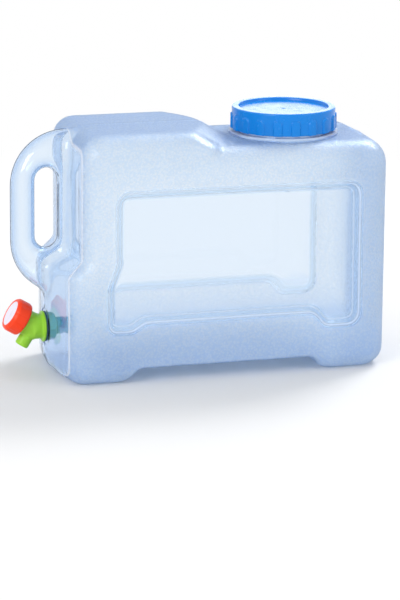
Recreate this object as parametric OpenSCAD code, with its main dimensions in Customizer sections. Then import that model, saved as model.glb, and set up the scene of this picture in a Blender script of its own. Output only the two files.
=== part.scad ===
// Carboy with spigot: a blow-moulded bottle with a hollow side handle, a wide screw cap
// and a turning tap low in its end wall. Millimetres, +Z up, standing on z = 0.
// +X runs along the bottle from the tap end to the far end, and y = 0 is the plane of symmetry.

/* [Bottle] */
// Length from the middle of the tap end wall to the far end
body_l = 341; // [310:1:380]
// Width across the front and back faces
body_w = 148; // [136:1:170]
// Height of the raised part beside the handle
raised_h = 248; // [240:1:260]
// Height of the shoulder that carries the neck
shoulder_h = 232; // [226:1:236]
// Wall thickness of the moulding
wall = 2; // [1.5:0.1:2.6]
// How far the middle of the tap end wall bulges past its corners
end_bow = 7; // [4:0.5:9]
// How far the raised part's end wall stands in from the tap end wall
end_step = 22.5; // [18:0.5:26]
// Height at which the end wall starts to step in
step_z = 107; // [95:1:112]
// Height over which it steps in
step_h = 20; // [16:1:24]
// Radius of the upright edges at the tap end
near_r = 20; // [19.5:0.5:23]
// Radius of the upright edges at the far end
far_r = 28; // [27.5:0.5:34]
// Radius of the edges round the top of the raised part
top_r = 21; // [16:0.5:22]
// Radius of the edges round the top of the shoulder
shoulder_r = 25; // [20:0.5:27]
// Radius of the edges round the bottom
base_r = 19; // [12:0.5:19]
// Where the raised part starts to slope down, from the bottle's middle
slope_x = -12; // [-30:1:0]
// Length of that slope
slope_l = 26; // [16:1:34]
// How far the middle of that slope bulges past its corners
slope_bow = 20; // [12:1:24]
// How far the middle of the far end wall bulges past its corners
far_bow = 2; // [1:0.5:4]

/* [Feet] */
// Height of the arch between the feet
arch_h = 15; // [8:1:20]
// Length of the foot under the tap, from the end wall to its inner slope
near_foot_l = 64; // [50:1:70]
// Length of the foot under the neck, from the far end to its inner slope
far_foot_l = 66; // [60:1:80]
// Length of the slope from a foot up to the arch
foot_slope = 14; // [10:1:20]

/* [Recess panels] */
// Depth of the front and back recess panels
recess_d = 10; // [6:0.5:12]
// Width of the sloped border of a recess panel
recess_slope = 7.5; // [5:0.5:9]
// Height of the top edge of a recess panel
recess_top = 193; // [180:1:200]
// Height of the bottom edge over the arch
recess_bottom = 61.5; // [58:0.5:70]
// Distance from the far end to a recess panel
recess_far = 35; // [32:0.5:45]
// Distance from the raised part's end wall to a recess panel
recess_near = 33.5; // [30:0.5:40]

/* [Handle] */
// How far the grip reaches past the tap end wall
handle_reach = 34; // [31:0.5:40]
// Width of the grip as seen from the side
grip_w = 24; // [20:0.5:27]
// Thickness of the grip from front to back
grip_t = 28; // [22:0.5:34]
// Width of the finger slot
slot_w = 23.4; // [21:0.2:26]
// Height of the finger slot's lower end
slot_z0 = 127; // [124:1:134]
// Height of the finger slot's upper end
slot_z1 = 208; // [200:1:212]

/* [Neck and cap] */
// Distance from the far end to the neck's axis
neck_in = 94; // [88:1:110]
// Radius of the mouth
mouth_r = 44.5; // [36:0.5:46]
// Wall thickness of the neck
neck_wall = 2.5; // [2:0.1:3]
// Height of the neck above the shoulder
neck_h = 20.4; // [18:0.2:26]
// Width of the flange round the neck's foot
neck_flange = 7.8; // [6:0.2:9]
// Height of that flange above the shoulder
flange_h = 3; // [2:0.2:4]
// Gap between the neck's wall and the cap's skirt, where the thread runs
thread_room = 2.6; // [2.2:0.1:3]
// Wall thickness of the cap's skirt
cap_wall = 2.4; // [2:0.1:3]
// Thickness of the cap's top disc
cap_disc_t = 2.2; // [1.6:0.1:3]
// Depth of the sunken top disc below the rim
cap_sink = 3; // [1:0.2:4]
// Width of the rim round the sunken disc
cap_rim = 7.4; // [5:0.2:9]
// Gap between the cap's skirt and the neck's flange
skirt_gap = 1.8; // [1:0.1:2.4]
// Number of grip pads round the cap
pad_n = 18; // [12:1:22]
// Width of a grip pad
pad_w = 9.4; // [7:0.2:10]
// How far a grip pad stands out
pad_t = 1.4; // [0.8:0.1:1.8]
// Distance from the cap's rim down to the top of a pad
pad_drop = 6.6; // [5:0.2:9]
// Thickness of the cap's sealing ring
seal_t = 1.4; // [1:0.1:2]

/* [Tap] */
// Height of the tap's pipe axis
tap_z = 46.5; // [44:0.5:52]
// Outer radius of the threaded pipe
pipe_r = 8.6; // [8:0.1:9]
// Inner radius of the pipe
pipe_bore_r = 5; // [4:0.1:5.4]
// Length of the pipe from the seat on the end wall inwards
pipe_l = 22.5; // [19:0.5:28]
// Outer radius of the clamping flange
tap_flange_r = 15.6; // [14.5:0.1:16.5]
// Thickness of the clamping flange
tap_flange_t = 2.4; // [2:0.1:3]
// Thickness of the flat ring between flange and wall
ring_t = 1.6; // [1.2:0.1:2.2]
// Distance across the flats of the inner nut
nut_af = 25; // [23:0.5:27]
// Thickness of the inner nut
nut_t = 7.8; // [6:0.2:9]
// Radius of the neck between flange and barrel
tap_neck_r = 12.3; // [11.5:0.1:13]
// Distance from the wall seat to the point where spout and barrel cross
valve_out = 12.6; // [11.5:0.2:14]
// Height of that point above the pipe axis
valve_up = 1.9; // [1:0.1:3]
// Slope of the barrel above level, in degrees
knob_tilt = 31; // [25:1:38]
// Outer radius of the barrel
barrel_r = 12; // [11:0.1:12.3]
// Radius of the barrel's bore
stem_bore_r = 7; // [6.4:0.1:7.4]
// Outer radius of the spout
spout_r = 7; // [6.4:0.1:7.6]
// Inner radius of the spout
spout_bore_r = 4.8; // [4:0.1:5.2]
// Length of the spout from the crossing point
spout_l = 23.5; // [20:0.5:27]
// Largest radius of the knob
knob_r = 17.2; // [16.6:0.1:19]
// Length of the knob
knob_l = 15.6; // [14:0.2:18]
// Distance from the crossing point to the back of the knob
knob_s = 10.9; // [10.5:0.1:12]
// Number of grooves round the knob
groove_n = 10; // [8:1:14]

/* [Hidden] */
$fn = 96;

// Clearances
touch_gap = 0.05;     // between faces that press on each other on different bodies
run_gap = 0.08;       // radial, of the stem in its barrel
fit_gap = 0.05;       // radial, of parts that stay together
hole_gap = 0.4;       // radial, of the pipe in the end wall
eps = 0.5;            // how far a cutter runs past a face

// Bottle
hw = body_w / 2;
x_far = body_l / 2;
x_apex = -body_l / 2;
x_near = x_apex + end_bow;            // tap end wall at its corners
x_raised = x_apex + end_step;         // end wall of the raised part
slope_x1 = slope_x + slope_l;
x_corner = x_far - far_bow;           // far end wall at its corners
hidden_in = 20;                       // how far the lower block reaches inside the raised one
recess_skin = wall * norm([recess_d, recess_slope]) / recess_d;

// Handle
x_grip = x_apex - handle_reach;
slot_x = x_grip + grip_w + slot_w / 2;
arc_r = 55;                           // outer bends of the handle
arc_x = x_grip + arc_r;
arc_z1 = raised_h - 2.5 - arc_r;      // centre of the upper bend
arc_z0 = slot_z0 + 8;                 // centre of the lower bend

// Neck and cap
x_neck = x_far - neck_in;
neck_r = mouth_r + neck_wall;
neck_flange_r = neck_r + neck_flange;
neck_top = shoulder_h + neck_h;
cap_in_r = neck_r + thread_room;
cap_r = cap_in_r + cap_wall;
seal_z = neck_top + touch_gap;
disc_z0 = seal_z + seal_t + touch_gap;
disc_z1 = disc_z0 + cap_disc_t;
cap_top = disc_z1 + cap_sink;
skirt_z = shoulder_h + flange_h + skirt_gap;
rim_round = 1.4;
seal_in_r = mouth_r - 2;
seal_out_r = cap_in_r - 0.4;

// Tap
spot_d = 0.8;                         // depth of the flat seat in the bulged wall
seat_x = x_apex + spot_d;
pad_in = 2.4;                         // wall thickness at the seat
spot_r = 18.5;
flange_x = seat_x - ring_t - tap_flange_t;
valve_x = seat_x - valve_out;
valve_z = tap_z + valve_up;
nut_r = nut_af / 2 / cos(30);
seat_s = -6;                          // valve seat, measured along the barrel from the crossing
barrel_s = knob_s + 9.8;              // end of the barrel, inside the knob
knob_end = knob_s + knob_l;
knob_chamfer = 2;
knob_plate = barrel_s + 0.5;          // underside of the knob's end plate
disc_t = 1.4;
disc_r = 13;
disc_s = knob_end - disc_t - 0.2;     // bottom of the recess for the white disc
spindle_r = 5;
seal_disc_t = 2;
seat_hole_r = 3.5;
root_r = spout_r + 0.7;               // thicker root of the spout, where it leaves the barrel
root_l = barrel_r + 0.6;
inlet_r = spout_bore_r - 0.6;         // narrower inner end of the spout's bore
inlet_l = stem_bore_r + 1.5;
ring_section = 0.95;                  // radius of the round ring's section
groove_s = 7;                         // place of its groove along the stem

// The whole part is centred on its own length
knob_x = valve_x - (knob_end - knob_chamfer * 1.5) * cos(knob_tilt) - knob_r * sin(knob_tilt);
knob_face_x = valve_x - knob_end * cos(knob_tilt) - (knob_r - knob_chamfer) * sin(knob_tilt);
x_min = min(knob_x, knob_face_x, x_grip);
frame_x = -(x_min + x_far) / 2;

// Geometry helpers

function arc(c, r, a0, a1, n) = [for (i = [0:n]) let (a = a0 + (a1 - a0) * i / n)
    c + r * [cos(a), sin(a)]];

function unit(v) = v / norm(v);

// The outline moved inwards by t, for points that run anticlockwise
function inset(p, t) = let (n = len(p)) [for (i = [0:n - 1])
    let (a = p[(i + n - 1) % n], b = p[i], c = p[(i + 1) % n],
         u = unit(b - a), v = unit(c - b),
         m = b + t * [-u[1], u[0]], k = b + t * [-v[1], v[0]])
    m + u * cross(k - m, v) / cross(u, v)];

// One corner of an outline replaced by an arc of n steps
function round_corner(a, b, c, r, n) =
    let (u = unit(a - b), v = unit(c - b), half = acos(u * v) / 2,
         m = b + unit(u + v) * r / sin(half), p = b + u * r / tan(half) - m,
         q = b + v * r / tan(half) - m,
         a0 = atan2(p[1], p[0]), turn = (atan2(q[1], q[0]) - a0 + 540) % 360 - 180)
    arc(m, r, a0, a0 + turn, n);

// An anticlockwise outline with rounded corners, moved inwards by t
function rounded(p, r, t = 0, n = 5) =
    let (q = inset(p, t), m = len(p)) [for (i = [0:m - 1])
        let (a = q[(i + m - 1) % m], b = q[i], c = q[(i + 1) % m],
             k = cross(b - a, c - b) > 0 ? max(r[i] - t, 0.4) : r[i] + t)
        each round_corner(a, b, c, k, n)];

function mean(ring) = [for (p = ring) 1] * ring / len(ring);

// A solid through rings of points, each ring anticlockwise seen from the side it moves to. An end
// is a fan of triangles round its middle, or round the point given in ends for a hollow outline
module loft(rings, ends = []) {
    n = len(rings[0]);
    m = len(rings);
    middles = len(ends) > 0 ? ends : [mean(rings[0]), mean(rings[m - 1])];
    points = [for (ring = concat(rings, [middles])) each ring];
    sides = [for (k = [0:m - 2]) for (j = [0:n - 1])
        [k * n + j, (k + 1) * n + j, (k + 1) * n + (j + 1) % n, k * n + (j + 1) % n]];
    first = [for (j = [0:n - 1]) [m * n, j, (j + 1) % n]];
    last = [for (j = [0:n - 1]) [m * n + 1, (m - 1) * n + (j + 1) % n, (m - 1) * n + j]];
    polyhedron(points, concat(sides, first, last), convexity = 6);
}

// A side profile in x and z, extruded across the width
module across(half) {
    rotate([90, 0, 0]) linear_extrude(2 * half, center = true) children();
}

module at_barrel() {
    translate([valve_x, 0, valve_z]) rotate([0, knob_tilt - 90, 0]) children();
}

module at_spout() {
    at_barrel() rotate([0, 90, 0]) mirror([0, 0, 1]) children();
}

// Bottle

// Plan outline at one height, moved in by e: xl is the near wall at its corners, rl their radius
// and bow how far the wall bulges, and xr, rr and bow_r are the same for the far wall
function plan_ring(z, xl, rl, bow, xr, rr, bow_r, e) =
    let (steps = 5, side = hw - rl, side_r = hw - rr)
    [for (p = concat(
        arc([xr - rr, -hw + rr], rr - e, -90, 0, steps),
        [for (k = [1:5]) let (y = side_r * (k / 3 - 1)) [xr - e + bow_r * (1 - pow(y / side_r, 2)), y]],
        arc([xr - rr, hw - rr], rr - e, 0, 90, steps),
        arc([xl + rl, hw - rl], rl - e, 90, 180, steps),
        [for (k = [1:5]) let (y = side * (1 - k / 3)) [xl + e - bow * (1 - pow(y / side, 2)), y]],
        arc([xl + rl, -hw + rl], rl - e, 180, 270, steps)))
     [p[0], p[1], z]];

// The lower block: feet, bulged tap end, shoulder and far end. t moves every face inwards
module lower_block(t) {
    n = 5;
    steps = 6;
    base = [for (i = [n:-1:0]) let (a = 90 * i / n)
        plan_ring(base_r - (base_r - t) * sin(a), x_near, near_r, end_bow, x_corner, far_r, far_bow,
                  base_r - (base_r - t) * cos(a))];
    step_rings = [for (i = [0:steps]) let (s = i / steps, w = (1 - cos(180 * s)) / 2)
        plan_ring(step_z + step_h * s, x_near + (x_raised - x_near) * w,
                  near_r, end_bow * (1 - w), x_corner, far_r, far_bow, t)];
    inner_x = x_raised + hidden_in;
    top = [for (i = [0:n]) let (a = 90 * i / n)
        plan_ring(shoulder_h - shoulder_r + (shoulder_r - t) * sin(a), inner_x, far_r, 0,
                  x_corner, far_r, far_bow, shoulder_r - (shoulder_r - t) * cos(a))];
    waist = plan_ring(step_z + step_h + hidden_in, inner_x, far_r, 0, x_corner, far_r, far_bow, t);
    loft(concat(base, step_rings, [waist], top));
}

// The raised block beside the handle; its far wall is upright inside the shoulder and then
// slopes back to the top
module raised_block(t) {
    n = 6;
    rr = top_r + 1;
    fall = slope_l / (raised_h - shoulder_h);
    function wall_x(z) = slope_x1 - slope_bow - max(0, z - (shoulder_h - t)) * fall;
    sides = [for (z = [step_z + step_h - 12, raised_h - top_r - 1])
        plan_ring(z, x_raised, near_r, 0, slope_x1 - slope_bow, rr, slope_bow, t)];
    top = [for (i = [0:n]) let (a = 90 * i / n, e = top_r - (top_r - t) * cos(a),
                                z = raised_h - top_r + (top_r - t) * sin(a))
        plan_ring(z, x_raised, max(near_r, e + 1), 0, wall_x(z) + e - t, max(rr, e + 1), slope_bow, e)];
    loft(concat(sides, top));
}

// Space under the arch, from the floor up
module arch_space(t) {
    a = x_apex + near_foot_l + foot_slope;
    b = x_far - far_foot_l - foot_slope;
    across(hw + eps) polygon(rounded([[a - foot_slope, -arch_h / 4], [b + foot_slope, -arch_h / 4],
        [b + 4, arch_h / 2], [b, arch_h], [a, arch_h], [a - 4, arch_h / 2]],
        [1, 1, 20, 8, 8, 20], -t, 4));
}

// One recess panel, cut from the front; grow makes it larger all round for the inner wall
module recess(grow) {
    left = x_raised + recess_near;
    right = x_far - recess_far;
    lobe = 8.5;
    deep = 15;
    outline = [[left - 8.5, recess_bottom - lobe], [left + 16, recess_bottom - lobe],
        [left + 29, recess_bottom], [right - 47, recess_bottom], [right - 36, recess_bottom - deep],
        [right + 1, recess_bottom - deep], [right, recess_top], [left, recess_top],
        [left, step_z + 15], [left - 9, step_z - 9]];
    radii = [9, 10, 14, 14, 12, 13, 13, 13, 22, 22];
    out = recess_slope * eps / recess_d;
    edge = grow > 0 ? recess_skin : 0;
    floor_ring = rounded(outline, radii, recess_slope - edge);
    edge_ring = rounded(outline, radii, -out - edge);
    eye = [(left + right) / 2 + 8, recess_top - 14];
    floor_y = -hw + recess_d + grow;
    edge_y = -hw - eps;
    loft([[for (p = floor_ring) [p[0], floor_y, p[1]]], [for (p = edge_ring) [p[0], edge_y, p[1]]]],
         [[eye[0], floor_y, eye[1]], [eye[0], edge_y, eye[1]]]);
}

module both_recesses(grow) {
    recess(grow);
    mirror([0, 1, 0]) recess(grow);
}

// Cross-sections of the handle, from inside the raised part round the grip to the lower wall.
// Each is an ellipse between a point on the outer outline and one on the finger slot's edge
function handle_outer() = concat(
    [[x_raised + 14, raised_h - 12]],
    arc([arc_x, arc_z1], arc_r, 84, 180, 8),
    arc([arc_x, arc_z0], arc_r, 180, 276, 8),
    [[x_raised + 14, arc_z0 - arc_r + 12]]);
function handle_inner() = let (r = slot_w / 2) concat(
    [[x_raised + 14, slot_z1 - 6]],
    arc([slot_x, slot_z1 - r], r, 48, 180, 8),
    arc([slot_x, slot_z0 + r], r, 180, 312, 8),
    [[x_raised + 14, slot_z0 + 4]]);
function handle_ring(p, q, t, n) = let (c = (p + q) / 2, u = unit(p - q), a = norm(p - q) / 2 - t)
    [for (j = [0:n - 1]) let (f = 360 * j / n, s = sin(f), k = cos(f))
        [c[0] + a * k * u[0], (grip_t / 2 - t) * sign(s) * pow(abs(s), 0.85), c[1] + a * k * u[1]]];

module handle(t) {
    n = 20;
    p = handle_outer();
    q = handle_inner();
    loft([for (i = [0:len(p) - 1]) handle_ring(p[i], q[i], t, n)]);
}

// The web between the finger slot and the end wall, thinner towards the top
module slot_web() {
    x0 = slot_x + slot_w / 2;
    x1 = x_raised + 3;
    low = step_z + 8;
    high = slot_z1 + 16;
    loft([for (e = [[low, 22, 9], [high, 12, 7]])
        [[x0, -e[2], e[0]], [x1, -e[1], e[0]], [x1, e[1], e[0]], [x0, e[2], e[0]]]]);
}

module carboy_body() {
    color("lightsteelblue") translate([frame_x, 0, 0]) difference() {
        union() {
            difference() {
                union() {
                    lower_block(0);
                    raised_block(0);
                    slot_web();
                    handle(0);
                    translate([x_neck, 0, shoulder_h - wall]) cylinder(h = neck_h + wall, r = neck_r);
                    translate([x_neck, 0, shoulder_h - wall])
                        cylinder(h = flange_h + wall, r = neck_flange_r);
                }
                difference() {
                    union() {
                        lower_block(wall);
                        raised_block(wall);
                        handle(wall);
                    }
                    both_recesses(wall);
                    arch_space(wall);
                }
                both_recesses(0);
                arch_space(0);
                translate([x_neck, 0, shoulder_h - 4 * wall]) cylinder(h = neck_h + 8 * wall, r = mouth_r);
                translate([x_apex - spot_d, 0, tap_z]) rotate([0, 90, 0])
                    cylinder(h = 2 * spot_d, r = spot_r);
            }
            translate([seat_x, 0, tap_z]) rotate([0, 90, 0]) cylinder(h = pad_in, r = spot_r - 1);
        }
        translate([seat_x - eps, 0, tap_z]) rotate([0, 90, 0])
            cylinder(h = pad_in + 2 * eps, r = pipe_r + hole_gap);
    }
}

// Cap

module grip_pad() {
    top = cap_top - pad_drop;
    w = pad_w / 2;
    rotate([90, 0, 0]) translate([0, 0, cap_r - 1]) linear_extrude(pad_t + 1)
        polygon(concat([[-w, skirt_z], [w, skirt_z]], arc([0, top - w], w, 0, 180, 8)));
}

module screw_cap() {
    color("dodgerblue") translate([frame_x + x_neck, 0, 0]) union() {
        rotate_extrude() polygon(concat(
            [[0, disc_z0], [cap_in_r, disc_z0], [cap_in_r, skirt_z], [cap_r, skirt_z]],
            arc([cap_r - rim_round, cap_top - rim_round], rim_round, 0, 90, 5),
            [[cap_r - cap_rim + 0.6, cap_top], [cap_r - cap_rim, disc_z1], [0, disc_z1]]));
        for (i = [0:pad_n - 1]) rotate([0, 0, (i + 0.3) * 360 / pad_n]) grip_pad();
    }
}

module cap_gasket() {
    color("whitesmoke") translate([frame_x + x_neck, 0, seal_z]) difference() {
        cylinder(h = seal_t, r = seal_out_r);
        translate([0, 0, -eps]) cylinder(h = seal_t + 2 * eps, r = seal_in_r);
    }
}

// Tap

module spigot_body() {
    color("yellowgreen") translate([frame_x, 0, 0]) difference() {
        union() {
            translate([flange_x, 0, tap_z]) rotate([0, 90, 0]) cylinder(h = tap_flange_t, r = tap_flange_r);
            translate([flange_x, 0, tap_z]) rotate([0, 90, 0])
                cylinder(h = seat_x + pipe_l - flange_x, r = pipe_r);
            translate([valve_x - 0.7, 0, tap_z]) rotate([0, 90, 0])
                cylinder(h = flange_x - valve_x + 0.7 + tap_flange_t / 2, r = tap_neck_r);
            at_barrel() translate([0, 0, -4]) cylinder(h = barrel_s + 4, r = barrel_r);
            at_spout() cylinder(h = spout_l, r = spout_r);
            at_spout() cylinder(h = root_l, r = root_r);
        }
        translate([flange_x + 1.2, 0, tap_z]) rotate([0, 90, 0])
            cylinder(h = seat_x + pipe_l - flange_x, r = pipe_bore_r);
        at_barrel() translate([0, 0, seat_s]) cylinder(h = barrel_s - seat_s + eps, r = stem_bore_r);
        at_barrel() translate([0, 0, seat_s - 7.5]) cylinder(h = 8, r = seat_hole_r);
        at_spout() cylinder(h = inlet_l + eps, r = inlet_r);
        at_spout() translate([0, 0, inlet_l]) cylinder(h = spout_l - inlet_l + eps, r = spout_bore_r);
    }
}

module flange_gasket() {
    color("darkslategray") translate([frame_x + seat_x - ring_t, 0, tap_z]) rotate([0, 90, 0]) difference() {
        cylinder(h = ring_t, r = tap_flange_r - 0.4);
        translate([0, 0, -eps]) cylinder(h = ring_t + 2 * eps, r = pipe_r + fit_gap);
    }
}

module spigot_nut() {
    color("yellowgreen") translate([frame_x + seat_x + pad_in, 0, tap_z]) rotate([0, 90, 0]) difference() {
        intersection() {
            cylinder(h = nut_t, r = nut_r, $fn = 6);
            rotate_extrude() polygon([[0, 0], [nut_r, 0], [nut_r, nut_t - 2.5],
                [nut_r - 2.8, nut_t], [0, nut_t]]);
        }
        translate([0, 0, -eps]) cylinder(h = nut_t + 2 * eps, r = pipe_r + fit_gap);
    }
}

module spigot_knob() {
    c = knob_chamfer;
    color("orangered") translate([frame_x, 0, 0]) at_barrel() difference() {
        rotate_extrude() polygon([[barrel_r + 0.5, knob_s], [knob_r - 0.9, knob_s], [knob_r, knob_s + c],
            [knob_r, knob_end - 1.5 * c], [knob_r - c, knob_end], [disc_r, knob_end], [disc_r, disc_s],
            [spindle_r, disc_s], [spindle_r, knob_plate], [barrel_r + 0.5, knob_plate]]);
        for (i = [0:groove_n - 1]) rotate([0, 0, (i + 0.5) * 360 / groove_n])
            translate([knob_r + 2, 0, knob_s - eps]) cylinder(h = knob_l + 2 * eps, r = 2.7);
    }
}

module knob_disc() {
    color("white") translate([frame_x, 0, 0]) at_barrel() translate([0, 0, disc_s])
        cylinder(h = disc_t, r = disc_r - fit_gap);
}

module valve_stem() {
    foot = seat_s + seal_disc_t + 2 * touch_gap;
    r = stem_bore_r - run_gap;
    color("seashell") translate([frame_x, 0, 0]) at_barrel() rotate_extrude() polygon([[0, foot],
        [r, foot], [r, groove_s - 1.1], [r - 1.95, groove_s - 1.1], [r - 1.95, groove_s + 1.1],
        [r, groove_s + 1.1], [r, knob_plate], [spindle_r - fit_gap, knob_plate],
        [spindle_r - fit_gap, disc_s], [0, disc_s]]);
}

module stem_o_ring() {
    color("black") translate([frame_x, 0, 0]) at_barrel() translate([0, 0, groove_s])
        rotate_extrude() translate([stem_bore_r - run_gap - ring_section, 0]) circle(ring_section, $fn = 24);
}

module seal_disc() {
    color("gray") translate([frame_x, 0, 0]) at_barrel() translate([0, 0, seat_s + touch_gap])
        cylinder(h = seal_disc_t, r = stem_bore_r - 0.4);
}

carboy_body();
screw_cap();
cap_gasket();
spigot_body();
flange_gasket();
spigot_nut();
spigot_knob();
knob_disc();
valve_stem();
stem_o_ring();
seal_disc();
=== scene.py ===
# %% [markdown]
# # A blue carboy with a spigot
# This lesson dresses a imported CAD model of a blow-moulded water carboy. The CAD model is a fixed
# frame: it says where every piece is and how it moves. Blender adds the looks: the thin clear
# shell with its moulded grain, the screw threads, the grip pads, the green spigot and its red knob.
# A cell that starts with markdown explains the next step, and the code cell after it does it.

# %% The frame comes first
import math

import bmesh
import bpy
import numpy as np
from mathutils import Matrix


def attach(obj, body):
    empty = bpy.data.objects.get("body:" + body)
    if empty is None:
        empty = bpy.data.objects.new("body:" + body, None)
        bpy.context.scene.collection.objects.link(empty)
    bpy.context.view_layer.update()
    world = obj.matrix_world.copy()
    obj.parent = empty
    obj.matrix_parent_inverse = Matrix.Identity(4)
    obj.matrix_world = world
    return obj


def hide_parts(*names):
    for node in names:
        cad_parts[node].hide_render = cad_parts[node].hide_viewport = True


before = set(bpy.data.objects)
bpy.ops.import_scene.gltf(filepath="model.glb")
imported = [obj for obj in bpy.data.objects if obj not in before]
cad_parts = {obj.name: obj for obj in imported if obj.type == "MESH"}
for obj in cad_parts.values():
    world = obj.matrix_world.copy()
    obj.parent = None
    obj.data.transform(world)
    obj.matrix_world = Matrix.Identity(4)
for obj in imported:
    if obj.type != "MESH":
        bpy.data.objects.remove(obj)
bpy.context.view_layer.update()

import openvdb
from mathutils import Matrix, Vector

# %% [markdown]
# ## Sizes
# All shapes are worked out in millimetres, because that is how a mould maker would give them, and
# turned into metres when a mesh is made. The bottle's own drawing has its zero halfway along the
# bottle, and the frame is centred on the whole object, spigot included, so one shift along X takes
# a drawing point to the frame.

# %% Sizes of the bottle, in millimetres
MM = 0.001
SHIFT = 21.1718

HALF_W = 74.0
X_FAR = 170.5
X_APEX = -170.5
NEAR_BOW = 7.0
FAR_BOW = 1.6
X_NEAR = X_APEX + NEAR_BOW
X_RAISED = X_APEX + 22.5
STEP_Z, STEP_H = 107.0, 20.0
NEAR_R, FAR_R = 20.0, 28.0
RAISED_H, SHOULDER_H = 248.0, 232.0
TOP_R, SHOULDER_R, BASE_R = 21.0, 25.0, 19.0
SLOPE_X1, SLOPE_L, SLOPE_BOW = 14.0, 26.0, 20.0
WALL = 2.0

NECK_X = X_FAR - 94.0
MOUTH_R, NECK_R, NECK_RING_R = 44.5, 47.0, 54.8
NECK_RING_TOP = SHOULDER_H + 3.0
NECK_TOP = SHOULDER_H + 20.4
THREAD_LEAD, THREAD_H, THREAD_W = 6.0, 1.6, 2.6

TAP_Z = 46.5
SEAT_X = X_APEX + 0.8
SEAT_R, PIPE_HOLE_R = 18.5, 9.0
SEAT_RING_T, FLANGE_T = 1.6, 2.4
VALVE_X, VALVE_Z = SEAT_X - 12.6, TAP_Z + 1.9
TILT = 31.0

# %% [markdown]
# ## Outlines
# A blow mould is drawn with outlines that change slowly from one height to the next. The helpers
# here draw arcs, round the corners of an outline and skin a stack of outlines into a closed solid.
# Blender's own bevel could round a box too, but it can't follow walls that bow and step in.

# %% Drawing helpers
def arc(cx, cy, r, start, end, steps):
    a = np.radians(np.linspace(start, end, steps + 1))
    return np.column_stack([cx + r * np.cos(a), cy + r * np.sin(a)])


def inset(points, t):
    before, after = np.roll(points, 1, 0), np.roll(points, -1, 0)
    u = (points - before) / np.linalg.norm(points - before, axis=1)[:, None]
    v = (after - points) / np.linalg.norm(after - points, axis=1)[:, None]
    m = points + t * np.column_stack([-u[:, 1], u[:, 0]])
    k = points + t * np.column_stack([-v[:, 1], v[:, 0]])
    reach = np.cross(k - m, v) / np.cross(u, v)
    return m + u * reach[:, None]


def rounded(points, radii, t=0.0, steps=8):
    """The inset outline with a round of the given radius at each corner."""
    points = np.array(points, float)
    moved, out = inset(points, t), []
    for i, r in enumerate(radii):
        a, b, c = moved[i - 1], moved[i], moved[(i + 1) % len(moved)]
        convex = np.cross(b - a, c - b) > 0
        r = max(r - t, 0.4) if convex else r + t
        u, v = (a - b) / np.linalg.norm(a - b), (c - b) / np.linalg.norm(c - b)
        half = math.acos(np.clip(u @ v, -1, 1)) / 2
        m = b + (u + v) / np.linalg.norm(u + v) * r / math.sin(half)
        p, q = b + u * r / math.tan(half) - m, b + v * r / math.tan(half) - m
        a0 = math.degrees(math.atan2(p[1], p[0]))
        turn = (math.degrees(math.atan2(q[1], q[0])) - a0 + 540) % 360 - 180
        out.append(arc(*m, r, a0, a0 + turn, steps))
    return np.vstack(out)


def loft(rings, middles=None):
    """A closed solid through a stack of rings, as points, quads and triangles."""
    n, m = len(rings[0]), len(rings)
    ends = middles or [rings[0].mean(0), rings[-1].mean(0)]
    points = np.vstack([*rings, *ends])
    j = np.arange(n)
    k = (j + 1) % n
    quads = np.vstack([np.column_stack([i * n + j, (i + 1) * n + j, (i + 1) * n + k, i * n + k])
                       for i in range(m - 1)])
    first = np.column_stack([np.full(n, m * n), j, k])
    last = np.column_stack([np.full(n, m * n + 1), (m - 1) * n + k, (m - 1) * n + j])
    return points, quads, np.vstack([first, last])


# %% [markdown]
# ## Solids as distance fields
# Blown plastic has no sharp inner corners: the hot tube bulges softly from one form into the next.
# Joining meshes with a boolean leaves creases, and a bevel on them is fragile. Here each form
# becomes a field instead, a grid of numbers that says how far each point is from its skin. Fields
# join with a soft minimum, which leaves a fillet, and are cut with a soft maximum.

# %% Fields that join softly
class Block:
    """A grid of points in millimetres on which solids are joined and cut."""

    def __init__(self, low, high, voxel):
        self.low, self.voxel = np.array(low, float), voxel
        self.shape = tuple(int(v) for v in np.ceil((np.array(high) - self.low) / voxel) + 1)

    def axes(self):
        return np.ix_(*[self.low[i] + self.voxel * np.arange(self.shape[i]) for i in range(3)])

    def field(self, solid, band):
        """Distance from the solid's skin, exact to within the band and constant beyond it."""
        points, quads, tris = solid
        grid = openvdb.FloatGrid.createLevelSetFromPolygons(
            ((points - self.low) / self.voxel).astype(np.float32), triangles=tris.astype(np.uint32),
            quads=quads.astype(np.uint32), transform=openvdb.createLinearTransform(voxelSize=1.0),
            halfWidth=band / self.voxel)
        values = np.empty(self.shape, np.float32)
        grid.copyToArray(values)
        return values * self.voxel

    def skin(self, values, thrift):
        """The net of faces where the field is zero; thrift widens it on the flats."""
        grid = openvdb.FloatGrid()
        grid.copyFromArray((values / self.voxel).astype(np.float32))
        points, tris, quads = grid.convertToPolygons(isovalue=0.0, adaptivity=thrift)
        return points * self.voxel + self.low, tris.astype(int), quads.astype(int)

    def sample(self, values, points):
        p = (points - self.low) / self.voxel
        i = np.clip(np.floor(p).astype(int), 0, np.array(self.shape) - 2)
        f = p - i
        total = np.zeros(len(points))
        for corner in np.ndindex(2, 2, 2):
            c = np.array(corner)
            weight = np.prod(np.where(c, f, 1 - f), axis=1)
            total += weight * values[tuple((i + c).T)]
        return total

    def slope(self, values, points, reach=0.5):
        """The field's slope, which points straight out of the skin."""
        h = self.voxel * reach
        rise = [self.sample(values, points + h * axis) - self.sample(values, points - h * axis)
                for axis in np.eye(3)]
        return np.column_stack(rise) / (2 * h)

    def settle(self, values, points, rounds=3):
        for _ in range(rounds):
            g = self.slope(values, points)
            d = self.sample(values, points)
            points = points - g * (d / np.maximum((g * g).sum(1), 0.2))[:, None]
        return points


def join(a, b, fillet):
    """Both forms in one, with a fillet in the corner between them."""
    h = np.clip(fillet - np.abs(a - b), 0, None)
    return np.minimum(a, b) - h * h / np.maximum(4 * fillet, 1e-6)


def cut(a, b, fillet):
    return -join(-a, b, fillet)


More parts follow.
